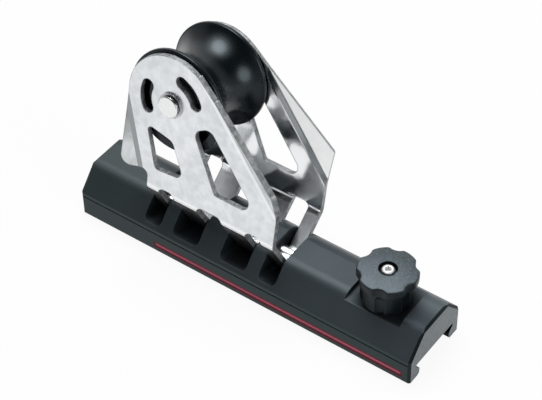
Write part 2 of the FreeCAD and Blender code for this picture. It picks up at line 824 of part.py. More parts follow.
def knob():
    """Moulded grip with six lobes, finger flutes and a screw recess in its top."""
    rim_top = knob_top - knob_dome
    prism = lobed_face(knob_bottom - 1).extrude(Z_AXIS * (knob_top - knob_bottom + 2))
    grip = knob_blank().common(prism)
    on_rim = lambda c: c.z > rim_top - 0.01 and math.hypot(c.x - knob_x, c.y) > knob_diameter / 3
    grip = grip.makeFillet(knob_rim_radius, edges_where(grip, on_rim))
    skirt = knob_diameter / 2 - knob_skirt_inset
    flute_centre = skirt - flute_depth + flute_radius
    flute_top = knob_top - flute_top_drop - flute_radius
    for step in range(knob_lobes):
        angle = math.radians(knob_first_valley + 360 / knob_lobes * step)
        out = Vector(math.cos(angle), math.sin(angle), 0) * flute_centre
        start = knob_point(knob_bottom - 1) + out
        flute = rod(flute_radius, flute_top - start.z, start, Z_AXIS)
        arch = Part.makeSphere(flute_radius, Vector(start.x, start.y, flute_top))
        grip = grip.cut(flute.fuse(arch))
    cavity_height = knob_cavity_top - knob_bottom
    grip = grip.cut(rod(knob_cavity_diameter / 2, cavity_height, knob_point(knob_bottom), Z_AXIS))
    grip = grip.cut(rod(insert_diameter / 2, insert_height, knob_point(knob_cavity_top), Z_AXIS))
    recess = rod(screw_recess_diameter / 2, screw_recess_depth, knob_point(screw_seat), Z_AXIS)
    hole_radius = screw_shank_diameter / 2 + running_fit
    hole = rod(hole_radius, screw_seat - insert_top, knob_point(insert_top), Z_AXIS)
    return grip.cut(recess).cut(hole)


def knob_insert():
    """Metal insert moulded into the knob, screwed on the stem."""
    insert = rod(insert_diameter / 2, insert_height, knob_point(knob_cavity_top), Z_AXIS)
    stem_hole = stem_top + seat_gap - knob_cavity_top
    bore = rod(stem_diameter / 2 + fixed_fit, stem_hole, knob_point(knob_cavity_top), Z_AXIS)
    screw_hole_radius = screw_shank_diameter / 2 + running_fit
    screw_hole = rod(screw_hole_radius, insert_height, knob_point(knob_cavity_top), Z_AXIS)
    return insert.cut(bore).cut(screw_hole)


def knob_screw():
    """Socket-head screw that holds the knob on the stem."""
    head = rod(screw_head_diameter / 2, screw_head_height, knob_point(screw_seat), Z_AXIS)
    top = screw_seat + screw_head_height
    shank_start = knob_point(screw_seat - screw_shank_depth)
    shank = rod(screw_shank_diameter / 2, screw_shank_depth, shank_start, Z_AXIS)
    screw = head.makeChamfer(screw_head_chamfer, edges_where(head, lambda c: abs(c.z - top) < 0.01))
    screw = screw.fuse(shank).removeSplitter()
    socket_start = knob_point(top - screw_hex_depth)
    return screw.cut(hex_prism(screw_hex, screw_hex_depth, socket_start, Z_AXIS))


def build_nodes():
    """Make every piece under its own name."""
    nodes = {
        "car_body": car_body(),
        "hinge_pin": hinge_pin(),
        "hinge_grub_screw": hinge_grub_screw(),
        "folded_frame": folded_frame(),
        "axle": axle(),
        "retaining_rings": retaining_rings(),
        "inner_sleeve": inner_sleeve(),
        "bearing_rollers": bearing_rollers(),
        "outer_race": outer_race(),
        "sheave": sheave(),
        "guide_bushing": guide_bushing(),
        "plunger_pin": plunger_pin(),
        "spring_seat": spring_seat(),
        "plunger_spring": plunger_spring(),
        "knob": knob(),
        "knob_insert": knob_insert(),
        "knob_screw": knob_screw(),
    }
    for name, side in SIDES.items():
        nodes["side_stripe_" + name] = stripe_solid(side)
        nodes["thrust_washer_" + name] = thrust_washer(side)
    return nodes


os.makedirs("parts", exist_ok=True)
for node_name, solid in build_nodes().items():
    solid.exportStep("parts/" + node_name + ".step")
    print(node_name, "volume", round(solid.Volume, 1), "valid", solid.isValid(), "solids", len(solid.Solids))
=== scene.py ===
# %% [markdown]
# A sliding track car: a black anodised extrusion, a folded stainless frame that rocks on a pin,
# a glossy wide sheave, and a plunger that a lobed knob lifts. The solids come in as a fixed frame,
# in metres, so nothing here moves or resizes them. This lesson dresses them: it gives every piece
# the finish that it has on a real deck, and sets up the studio.

# %% Load the fixed frame
import math
import bpy
from mathutils import Matrix, Vector


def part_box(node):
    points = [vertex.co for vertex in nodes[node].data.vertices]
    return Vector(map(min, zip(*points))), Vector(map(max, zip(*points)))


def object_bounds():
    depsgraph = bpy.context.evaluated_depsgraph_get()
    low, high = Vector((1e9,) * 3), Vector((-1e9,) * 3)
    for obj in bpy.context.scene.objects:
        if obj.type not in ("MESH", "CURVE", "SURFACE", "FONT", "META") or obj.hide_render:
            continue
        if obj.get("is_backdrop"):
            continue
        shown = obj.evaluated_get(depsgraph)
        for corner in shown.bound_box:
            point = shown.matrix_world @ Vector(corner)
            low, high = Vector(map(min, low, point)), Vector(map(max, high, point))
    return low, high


mm = 0.001
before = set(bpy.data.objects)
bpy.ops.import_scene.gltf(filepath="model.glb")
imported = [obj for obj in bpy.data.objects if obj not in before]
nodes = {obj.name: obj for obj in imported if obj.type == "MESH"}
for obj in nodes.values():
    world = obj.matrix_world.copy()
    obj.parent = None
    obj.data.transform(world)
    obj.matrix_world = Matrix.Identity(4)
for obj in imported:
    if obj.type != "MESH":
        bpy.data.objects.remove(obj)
cad_low, cad_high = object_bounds()
print("nodes:", len(nodes), "size in mm:", [round(side / mm, 1) for side in cad_high - cad_low])

# %% [markdown]
# The camera has a long lens and looks down at 45 degrees on the right front corner. Its place is
# written as an azimuth, an elevation and a distance from a target point, because those are the
# numbers that one changes when a view has to be matched. A small roll levels the long edges as they
# are in the picture.

# %% Camera
camera_azimuth = math.radians(36.461)
camera_elevation = math.radians(44.981)
camera_roll = math.radians(-1.015)
camera_distance = 0.7722
camera_target = Vector((0.0041, 0.0, 0.0437))
focal_length_in_pixels = 1868.0
image_width_in_pixels = 542.0
sensor_width_in_mm = 36.0
nearest_seen = 0.01

camera_data = bpy.data.cameras.new("studio_camera")
camera_data.sensor_width = sensor_width_in_mm
camera_data.lens = focal_length_in_pixels * sensor_width_in_mm / image_width_in_pixels
camera_data.clip_start = nearest_seen
camera = bpy.data.objects.new("studio_camera", camera_data)
bpy.context.scene.collection.objects.link(camera)
towards_camera = Vector((
    math.sin(camera_azimuth) * math.cos(camera_elevation),
    -math.cos(camera_azimuth) * math.cos(camera_elevation),
    math.sin(camera_elevation),
))
camera.rotation_mode = "QUATERNION"
camera.location = camera_target + towards_camera * camera_distance
level_view = (-towards_camera).to_track_quat("-Z", "Y")
camera.rotation_quaternion = level_view @ Matrix.Rotation(camera_roll, 3, "Z").to_quaternion()
bpy.context.scene.camera = camera
print("lens in mm:", round(camera_data.lens, 1))

# %% [markdown]
# A material in Blender is a graph of nodes. Writing one by hand takes many lines that all say
# "make this node, set this value, join these two", so small helpers say them once. A number goes
# on a socket as its value, and another node's socket is joined to it by a link.

# %% Helpers that add and join nodes
def add_node(tree, kind, inputs=None, **settings):
    """Add a node, set its properties, and fill or join its inputs."""
    made = tree.nodes.new(kind)
    for name, value in settings.items():
        setattr(made, name, value)
    for key, value in (inputs or {}).items():
        feed(tree, made.inputs[key], value)
    return made


def feed(tree, socket, value):
    """Join a socket to another node's output, or set it to a plain value."""
    if isinstance(value, bpy.types.NodeSocket):
        tree.links.new(value, socket)
    else:
        socket.default_value = value


def new_group(name, inputs, outputs):
    """Start a shared effect with named sockets; each is given as (name, kind, default)."""
    group = bpy.data.node_groups.new(name, "ShaderNodeTree")
    for way, sockets in (("INPUT", inputs), ("OUTPUT", outputs)):
        for socket_name, kind, default in sockets:
            made = group.interface.new_socket(
                socket_name, in_out=way, socket_type="NodeSocket" + kind)
            if default is not None:
                made.default_value = default
    start = group.nodes.new("NodeGroupInput")
    end = group.nodes.new("NodeGroupOutput")
    return group, start.outputs, end.inputs


def use_group(tree, group, inputs):
    """Place a shared effect in a material, with its own values."""
    return add_node(tree, "ShaderNodeGroup", inputs, node_tree=group).outputs


def new_material(name, **constants):
    """Start a material and set the plain numbers of its shader."""
    material = bpy.data.materials.new(name)
    material.use_nodes = True
    tree = material.node_tree
    shader = tree.nodes["Principled BSDF"]
    for socket_name, value in constants.items():
        shader.inputs[socket_name.replace("_", " ")].default_value = value
    return material, tree, shader.inputs


print("helpers for nodes ready")

# %% [markdown]
# A finish changes from place to place, and a mask says where: it is 1 inside the place and 0
# outside. Most masks are ramps, which turn a height, a width or a slant into a number from 0 to 1.
# Where two ramps are multiplied, both have to hold. Tints are then laid over a colour one by one,
# each through its own mask.

# %% Helpers that calculate
def calculate(tree, operation, first, second=0.0):
    """One step of arithmetic on sockets or numbers."""
    step = add_node(tree, "ShaderNodeMath", {0: first, 1: second}, operation=operation)
    return step.outputs[0]


def product(tree, first, *others):
    """Multiply masks and numbers with each other."""
    for other in others:
        first = calculate(tree, "MULTIPLY", first, other)
    return first


def size_of(tree, value):
    """A number without its sign."""
    return calculate(tree, "ABSOLUTE", value)


def distance_from(tree, value, centre):
    """How far a number lies from a centre, on either side."""
    return size_of(tree, calculate(tree, "SUBTRACT", value, centre))


def combine(tree, operation, first, second=(0.0, 0.0, 0.0)):
    """One step of arithmetic on vectors; all but a difference come out as a number."""
    step = add_node(tree, "ShaderNodeVectorMath", {0: first, 1: second}, operation=operation)
    return step.outputs["Vector" if operation == "SUBTRACT" else "Value"]


def parts_of(tree, vector):
    """The X, Y and Z of a vector."""
    return add_node(tree, "ShaderNodeSeparateXYZ", {"Vector": vector}).outputs


def object_place(tree):
    """Where a point lies on the object, in metres."""
    return add_node(tree, "ShaderNodeTexCoord").outputs["Object"]


def surface_normal(tree):
    """The direction that the surface faces at a point."""
    return add_node(tree, "ShaderNodeNewGeometry").outputs["Normal"]


print("helpers for numbers ready")

# %% Helpers that mix by a mask
def blend_colours(tree, share, first, second):
    """Mix two colours by a share between 0 and 1."""
    mix = add_node(tree, "ShaderNodeMix", data_type="RGBA")
    for key, value in (("Factor", share), (6, first), (7, second)):
        feed(tree, mix.inputs[key], value)
    return mix.outputs[2]


def blend_values(tree, share, first, second):
    """Mix two numbers by a share between 0 and 1."""
    mix = add_node(tree, "ShaderNodeMix", data_type="FLOAT")
    for key, value in (("Factor", share), (2, first), (3, second)):
        feed(tree, mix.inputs[key], value)
    return mix.outputs[0]


def ramp_between(tree, value, low, high):
    """Turn a value into a share: 0 at low and before it, 1 at high and beyond it."""
    reach = add_node(tree, "ShaderNodeMapRange", clamp=True)
    for socket, number in zip(reach.inputs, (value, low, high, 0.0, 1.0)):
        feed(tree, socket, number)
    return reach.outputs[0]


def where(tree, *ramps):
    """The mask of a place: the product of ramps, each given as (value, low, high)."""
    return product(tree, *(ramp_between(tree, *ramp) for ramp in ramps))


def lay_over(tree, colour, layers):
    """Lay tints over a colour in turn; each is given as (mask, share, tint)."""
    for mask, share, tint in layers:
        strength = mask if share == 1.0 else product(tree, mask, share)
        colour = blend_colours(tree, strength, colour, tint)
    return colour


def bumped(tree, height, strength, distance, normal=None):
    """A normal that is tilted by a height pattern."""
    inputs = {"Strength": strength, "Distance": distance, "Height": height}
    if normal is not None:
        inputs["Normal"] = normal
    return add_node(tree, "ShaderNodeBump", inputs).outputs[0]


print("helpers for masks ready")

# %% [markdown]
# Every finish starts from the same few effects. Grain is fine noise that roughens a surface.
# Cloudiness is broad noise that varies a tint. A rounded edge is the tiny radius that a cut or
# moulded edge has; the Bevel node bends the normal there, and the difference between the bent
# normal and the true one is a mask for edge wear. Each is built once as a node group.

# %% Shared effect: grain
grain_roughness = 0.6
grain_limits = (0.35, 0.65)
grain_group, given, result = new_group(
    "surface_grain",
    [("Place", "Vector", None), ("Grains per metre", "Float", 4000.0), ("Detail", "Float", 3.0)],
    [("Height", "Float", None), ("Mask", "Float", None)],
)
noise = add_node(grain_group, "ShaderNodeTexNoise", {
    "Vector": given["Place"], "Scale": given["Grains per metre"],
    "Detail": given["Detail"], "Roughness": grain_roughness})
feed(grain_group, result["Height"], noise.outputs["Fac"])
feed(grain_group, result["Mask"], ramp_between(grain_group, noise.outputs["Fac"], *grain_limits))


def grain_on(tree, place, per_metre, detail=3.0):
    """Grain at a place, as a height and a mask."""
    return use_group(tree, grain_group, {
        "Place": place, "Grains per metre": per_metre, "Detail": detail})


print("group:", grain_group.name)

# %% Shared effect: cloudiness
cloud_detail = 4.0
cloud_distortion = 0.6
cloud_limits = (0.3, 0.7)
cloud_group, given, result = new_group(
    "cloudy_tint",
    [("Place", "Vector", None), ("Clouds per metre", "Float", 60.0)],
    [("Mask", "Float", None)],
)
warp = add_node(cloud_group, "ShaderNodeTexNoise", {
    "Vector": given["Place"], "Scale": given["Clouds per metre"],
    "Detail": cloud_detail, "Distortion": cloud_distortion})
feed(cloud_group, result["Mask"], ramp_between(cloud_group, warp.outputs["Fac"], *cloud_limits))


def clouds_on(tree, place, per_metre):
    """The mask of the clouds at a place."""
    clouds = use_group(tree, cloud_group, {"Place": place, "Clouds per metre": per_metre})
    return clouds["Mask"]


print("group:", cloud_group.name)

# %% Shared effect: rounded and worn edges
bevel_samples = 6
edge_limits = (0.995, 0.90)
patches_per_metre = 900.0
patch_detail = 4.0
patch_limits = (0.42, 0.62)
edge_group, given, result = new_group(
    "rounded_edges",
    [("Radius", "Float", 0.3 * mm), ("Place", "Vector", None)],
    [("Normal", "Vector", None), ("Edge", "Float", None), ("Worn", "Float", None)],
)
bent = add_node(edge_group, "ShaderNodeBevel", {"Radius": given["Radius"]}, samples=bevel_samples)
alike = combine(edge_group, "DOT_PRODUCT", bent.outputs[0], surface_normal(edge_group))
edge_share = ramp_between(edge_group, alike, *edge_limits)
patchy = add_node(edge_group, "ShaderNodeTexNoise", {
    "Vector": given["Place"], "Scale": patches_per_metre, "Detail": patch_detail})
rubbed_patches = ramp_between(edge_group, patchy.outputs["Fac"], *patch_limits)
feed(edge_group, result["Normal"], bent.outputs[0])
feed(edge_group, result["Edge"], edge_share)
feed(edge_group, result["Worn"], product(edge_group, edge_share, rubbed_patches))


def edges_on(tree, place, radius):
    """Rounded edges, as a normal, a mask of the edges and a mask of their wear."""
    return use_group(tree, edge_group, {"Radius": radius, "Place": place})


print("group:", edge_group.name)

# %% [markdown]
# Aluminium that is hard anodised is nearly black, with a dull blue-green sheen. One colour would
# look like paint, so the body is divided by place, as it is by its making. The extruded skin has
# faint lines from the die, and its dye drifts from green-black to blue-black along the bar. The
# slopes are painted paler as light and the foot walls darker as shade, each by its facing, and the
# foot walls also get a weaker reflection as painted shade. The pockets are milled and stay dull,
# and are painted dark as shade; the chamfer round each end is dull and dark too. The knob's shadow
# is painted dark on the recess beside the plunger, and the slot for the track is painted black as
# shade; both are dull. Just past the knob, the top is painted paler on its far side as light, and
# its near side gets a weaker reflection as painted shade. The sawn ends are mottled grey. Where the
# red stripe is printed, its ink has bled a little into the wall. The corners rub paler with use,
# and a paler band along the shoulder is a painted highlight. Each place is a mask from the height,
# the width or the normal at a point.

# %% Measures of the body
body_low, body_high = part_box("car_body")
stripe_low, stripe_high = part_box("side_stripe_near")
stripe_middle = (stripe_low + stripe_high) / 2
stripe_half = (stripe_high - stripe_low) / 2
shoulder_height = 12.7 * mm
ridge_half_width = 9.3 * mm
slot_half_width = 13.8 * mm
slot_ceiling = 7.6 * mm
chamfer_start = body_high.x - 1.1 * mm
slope_fall = (body_high.z - shoulder_height) / (body_high.y - ridge_half_width)
print("slope of the body in degrees:", round(math.degrees(math.atan(slope_fall)), 1))

# %% Limits of the places on the body
# A mask is 0 at the first number of its pair and 1 at the second. A facing is the part of the
# normal that points across the bar, or along it for the ends.
slope_facing = (0.25, 0.45)
foot_facing = (0.90, 0.97)
top_facing = (0.65, 0.55)
end_facing = (0.90, 0.98)
chamfer_facing = (0.30, 0.50)
slot_facing = (0.60, 0.40)
ink_width = (2.0 * mm, 1.6 * mm)
ink_length = (stripe_half.x + 0.2 * mm, stripe_half.x)
past_knob_x = (73.0 * mm, 79.0 * mm)
before_knob_x = (32.0 * mm, 30.0 * mm)
# Past the knob, painted shade on the near side and painted light on the far side.
shaded_near_y = (4.0 * mm, -3.0 * mm)
painted_light_y = (0.0, 6.0 * mm)
above_slot_z = (8.0 * mm, 9.0 * mm)
on_slope_z = (20.5 * mm, 19.5 * mm)
shallow_cut = (0.1 * mm, 0.4 * mm)
recess_cut = (0.3 * mm, 0.8 * mm)
deep_cut = (1.0 * mm, 2.2 * mm)
inside_wall_y = (body_high.y - 0.4 * mm, body_high.y - 0.7 * mm)
inside_slot_y = (slot_half_width + 0.6 * mm, slot_half_width + 0.2 * mm)
inside_slot_z = (slot_ceiling + 0.4 * mm, slot_ceiling + 0.2 * mm)
# Where the knob's shadow is painted on the recess.
knob_shadow_centre = (65.0 * mm, -2.5 * mm, body_high.z - 2.0 * mm)
knob_shadow_reach = (16.5 * mm, 11.5 * mm)
shoulder_middle = shoulder_height - 0.4 * mm
shoulder_reach = (0.6 * mm, 0.2 * mm)
chamfer_x = (chamfer_start - 0.2 * mm, chamfer_start)
sawn_x = (body_high.x - 0.2 * mm, body_high.x - 0.1 * mm)
print("slot in mm:", round(2 * slot_half_width / mm, 1), "x", round(slot_ceiling / mm, 1))

# %% Masks of the places on the body
def below_skin(tree, spot):
    """How far a point lies under the extruded skin of the body."""
    past_ridge = calculate(tree, "SUBTRACT", size_of(tree, spot["Y"]), ridge_half_width)
    slope = calculate(tree, "SUBTRACT", body_high.z, product(tree, past_ridge, slope_fall))
    skin = calculate(tree, "MINIMUM", slope, body_high.z)
    return calculate(tree, "SUBTRACT", skin, spot["Z"])


def body_places(tree, place):
    """Masks of the slopes, walls, pockets, slot and ends of the body."""
    spot = parts_of(tree, place)
    facing = parts_of(tree, surface_normal(tree))
    across = size_of(tree, facing["Y"])
    along = size_of(tree, facing["X"])
    from_middle = size_of(tree, spot["X"])
    from_centre = size_of(tree, spot["Y"])
    off_line = distance_from(tree, spot["Z"], stripe_middle.z)
    beside_line = distance_from(tree, spot["X"], stripe_middle.x)
    off_shoulder = distance_from(tree, spot["Z"], shoulder_middle)
    off_knob_shadow = combine(tree, "DISTANCE", place, knob_shadow_centre)
    under = below_skin(tree, spot)
    past_knob = where(tree, (spot["X"], *past_knob_x), (across, *top_facing))
    shallow = where(tree, (under, *shallow_cut), (spot["Z"], *on_slope_z))
    cut = calculate(tree, "MAXIMUM", ramp_between(tree, under, *deep_cut), shallow)
    pocket = where(tree, (spot["Z"], *above_slot_z), (spot["X"], *before_knob_x),
                   (from_centre, *inside_wall_y))
    return {
        "dye": ramp_between(tree, spot["X"], body_low.x, body_high.x),
        "slope": ramp_between(tree, across, *slope_facing),
        "foot": ramp_between(tree, across, *foot_facing),
        "bled": where(tree, (off_line, *ink_width), (beside_line, *ink_length),
                      (across, *foot_facing)),
        # Past the knob: painted shade on the near side, painted light on the far side.
        "shaded_near_side": product(tree, past_knob, ramp_between(tree, spot["Y"], *shaded_near_y)),
        "paler": product(tree, past_knob, ramp_between(tree, spot["Y"], *painted_light_y)),
        # Inside the slot for the track, painted black as shade.
        "slot": where(tree, (from_centre, *inside_slot_y), (spot["Z"], *inside_slot_z),
                      (along, *slot_facing)),
        # Milled pockets: dull, and painted dark as shade.
        "milled": product(tree, cut, pocket),
        # The knob's painted shadow on the recess.
        "knob_shadow": where(tree, (off_knob_shadow, *knob_shadow_reach), (under, *recess_cut),
                        (spot["Z"], *above_slot_z)),
        # A painted highlight along the shoulder.
        "shoulder": ramp_between(tree, off_shoulder, *shoulder_reach),
        "chamfer": where(tree, (from_middle, *chamfer_x), (along, *chamfer_facing)),
        "sawn": where(tree, (from_middle, *sawn_x), (along, *end_facing)),
    }


print("masks of the body ready")

# %% Colours of the body
green_black = ((0.010, 0.017, 0.0165, 1), (0.014, 0.0215, 0.021, 1))
blue_black = ((0.022, 0.029, 0.036, 1), (0.030, 0.038, 0.046, 1))
sawn_grey = ((0.135, 0.15, 0.155, 1), (0.20, 0.215, 0.225, 1))
# Painted light: the slopes are paler by their facing.
slope_painted_light = (0.045, 0.055, 0.060, 1)
# Painted shade: the foot walls are darker by their facing.
foot_painted_shade = (0.009, 0.021, 0.025, 1)
bled_red = (0.09, 0.0015, 0.008, 1)
# Painted light: the top past the knob is paler on its far side.
top_painted_light = (0.062, 0.078, 0.084, 1)
# Painted shade in the milled pockets.
pocket_painted_shade = (0.0015, 0.003, 0.004, 1)
# Painted shadow of the knob on the recess beside the plunger.
painted_knob_shadow = (0.002, 0.0035, 0.0035, 1)
# Real wear on the edges, and a painted highlight along the shoulder.
wear_and_highlight_grey = (0.10, 0.135, 0.14, 1)
# Painted shade inside the slot for the track.
slot_painted_shade = (0.001, 0.0015, 0.0015, 1)
chamfer_black = (0.002, 0.0045, 0.004, 1)
cool_sheen = (0.78, 0.92, 1.0, 1)
# Painted shade: a weaker reflection on the foot walls.
foot_painted_shade_sheen = (0.30, 0.42, 0.42, 1)
bled_sheen = (0.12, 0.05, 0.07, 1)
# Painted shade: a weaker reflection inside the slot.
slot_shade_sheen = (0.04, 0.05, 0.05, 1)
# Painted shade: a weaker reflection on the near side past the knob.
shaded_near_sheen = (0.28, 0.36, 0.40, 1)
print("dye drifts from", green_black[0][:3], "to", blue_black[1][:3])

# %% Finish: black anodised aluminium
die_stretch = (0.02, 1.0, 1.0)
skin_roughness = (0.40, 0.48)
dull_roughness = 0.75
shoulder_highlight = 0.25
die_line_share = 0.5


def black_anodised():
    """The anodised bar, with its pockets, its painted light and shade, and its sawn ends."""
    material, tree, shader = new_material("black_anodised", Specular_IOR_Level=0.37)
    place = object_place(tree)
    at = body_places(tree, place)
    drawn_out = add_node(tree, "ShaderNodeMapping", {"Vector": place, "Scale": die_stretch})
    die_lines = grain_on(tree, drawn_out.outputs[0], per_metre=2600.0)
    grain = grain_on(tree, place, per_metre=7000.0)
    saw_marks = grain_on(tree, place, per_metre=1400.0, detail=4.0)
    cloud = clouds_on(tree, place, per_metre=45.0)
    edges = edges_on(tree, place, radius=0.25 * mm)
    dye = blend_colours(
        tree, at["dye"], blend_colours(tree, cloud, *green_black),
        blend_colours(tree, cloud, *blue_black))
    # Real wear on the edges, with a painted highlight along the shoulder.
    rubbed = calculate(
        tree, "MAXIMUM", edges["Worn"], product(tree, at["shoulder"], shoulder_highlight))
    not_milled = calculate(tree, "SUBTRACT", 1.0, at["milled"])
    # Painted light and shade by place: paler slopes, darker foot walls, a paler far top past the
    # knob, dark pockets, the knob's shadow and the black slot; the shoulder band is a painted
    # highlight.
    feed(tree, shader["Base Color"], lay_over(tree, dye, (
        (at["slope"], 0.35, slope_painted_light),
        (at["foot"], 0.85, foot_painted_shade),
        (at["bled"], 1.0, bled_red),
        (at["paler"], 1.0, top_painted_light),
        (at["milled"], 1.0, pocket_painted_shade),
        (at["knob_shadow"], 0.9, painted_knob_shadow),
        (product(tree, rubbed, not_milled), 0.4, wear_and_highlight_grey),
        (at["slot"], 1.0, slot_painted_shade),
        (at["chamfer"], 1.0, chamfer_black),
        (at["sawn"], 1.0, blend_colours(tree, saw_marks["Mask"], *sawn_grey)),
    )))
    # Painted shade: weaker reflections on the foot walls, inside the slot and on the near side past
    # the knob.
    feed(tree, shader["Specular Tint"], lay_over(tree, cool_sheen, (
        (at["foot"], 1.0, foot_painted_shade_sheen),
        (at["bled"], 1.0, bled_sheen),
        (at["slot"], 1.0, slot_shade_sheen),
        (at["shaded_near_side"], 1.0, shaded_near_sheen),
    )))
    matt = at["milled"]
    for dull_place in ("chamfer", "knob_shadow", "slot"):
        matt = calculate(tree, "MAXIMUM", matt, at[dull_place])
    skin_rough = blend_values(tree, grain["Mask"], *skin_roughness)
    feed(tree, shader["Roughness"], blend_values(tree, matt, skin_rough, dull_roughness))
    bumps = calculate(
        tree, "ADD", product(tree, die_lines["Height"], die_line_share), grain["Height"])
    feed(tree, shader["Normal"], bumped(
        tree, bumps, strength=0.12, distance=0.1 * mm, normal=edges["Normal"]))
    return material


print("finish written: black anodised aluminium")

# %% [markdown]
# The frame is one sheet of stainless. Its faces are polished, but never quite flat: the light
# breaks up in soft clouds. The outer faces of the plates keep a dull satin from the rolling mill,
# and the bends and the inner faces shine like a mirror. The wings carry painted reflections: light
# and dark streaks, a darker upper part as painted shade, and paler inner faces as painted light.
# Each crease beside them, and a thin line along every edge, is painted dark as shade. The straps
# are drawn round the pin, which leaves them brushed. The cut edges stay rough and grey. Which is
# which is read from the normal and the place, both turned back by the frame's lean, so that a
# plate's normal points straight across the car.

# %% Limits of the places on the frame
# A mask is 0 at the first number of its pair and 1 at the second. The slant is the part of the
# normal that points along the car, and heights are measured from the hinge.
frame_lean = math.radians(11.2)
hinge_height = 16.0 * mm
bend_z = (16.2 * mm, 17.2 * mm)
high_wing_z = (30.0 * mm, 52.0 * mm)
strap_z = (14.2 * mm, 13.2 * mm)
plate_edge_facing = (0.62, 0.50)
strap_edge_slant = (0.70, 0.80)
outward_facing = (-0.2, 0.2)
flat_slant = (0.25, 0.08)
wing_slant = (0.30, 0.36)
crease_slant = 0.22
crease_reach = (0.11, 0.06)
shaded_facing = (0.0, 0.1)
print("frame leans by", round(math.degrees(frame_lean), 1), "degrees")

# %% Masks of the places on the frame
def turned_back(tree, vector):
    """A direction or a place on the frame as it is with the frame upright."""
    turned = add_node(tree, "ShaderNodeMapping", {
        "Vector": vector, "Rotation": (frame_lean, 0.0, 0.0)})
    return parts_of(tree, turned.outputs[0])


def sheet_places(tree, place):
    """Masks of the cut edges, satin faces, wings, creases and straps of the folded sheet."""
    spot = turned_back(tree, combine(tree, "SUBTRACT", place, (0.0, 0.0, hinge_height)))
    facing = turned_back(tree, surface_normal(tree))
    slant = size_of(tree, facing["X"])
    above_bend = ramp_between(tree, spot["Z"], *bend_z)
    plate_edge = ramp_between(tree, size_of(tree, facing["Y"]), *plate_edge_facing)
    strap_edge = ramp_between(tree, slant, *strap_edge_slant)
    outward = product(tree, facing["Y"], calculate(tree, "SIGN", spot["Y"]))
    outer_face = ramp_between(tree, outward, *outward_facing)
    inner_face = calculate(tree, "SUBTRACT", 1.0, outer_face)
    flat = ramp_between(tree, slant, *flat_slant)
    wing = product(tree, ramp_between(tree, slant, *wing_slant), above_bend)
    off_crease = distance_from(tree, slant, crease_slant)
    shaded = (facing["X"], *shaded_facing)
    return {
        "cut_edge": blend_values(tree, above_bend, strap_edge, plate_edge),
        "satin": product(tree, outer_face, flat, above_bend),
        "wing": wing,
        "high_wing": where(tree, (spot["Z"], *high_wing_z), shaded),
        "inner_wing": product(tree, wing, inner_face),
        "crease": product(tree, where(tree, (off_crease, *crease_reach), shaded), above_bend),
        "strap": ramp_between(tree, spot["Z"], *strap_z),
    }


print("masks of the frame ready")

# %% Colours of the frame
mirror_faces = ((0.82, 0.84, 0.85, 1), (0.90, 0.91, 0.92, 1))
satin_faces = ((0.60, 0.635, 0.655, 1), (0.85, 0.87, 0.885, 1))
# Painted reflections on the wings: light and dark streaks, a darker upper part as shade, and paler
# inner faces as light.
wing_painted_reflections = ((0.36, 0.385, 0.39, 1), (0.84, 0.855, 0.86, 1))
inner_wing_painted_light = ((0.90, 0.915, 0.92, 1), (0.96, 0.97, 0.97, 1))
brushed_straps = ((0.66, 0.68, 0.70, 1), (0.80, 0.81, 0.83, 1))
sheared_edges = ((0.07, 0.08, 0.085, 1), (0.50, 0.52, 0.53, 1))
high_wing_painted_shade = (0.16, 0.18, 0.185, 1)
# Painted shade: the dark lines at the creases and along the edges.
painted_shade_line = (0.12, 0.135, 0.14, 1)
print("sheared edges run from", sheared_edges[0][:3], "to", sheared_edges[1][:3])

# %% Finish: polished sheet with rough cut edges
mirror_roughness = 0.08
duller_faces = (("satin", 0.24), ("inner_wing", 0.26), ("strap", 0.27))
cloud_roughness = 0.04
sheared_roughness = 0.50
sheared_metal = 0.6
mottle_share = 0.4
grain_share = 0.3
grain_strengths = (0.02, 0.4)


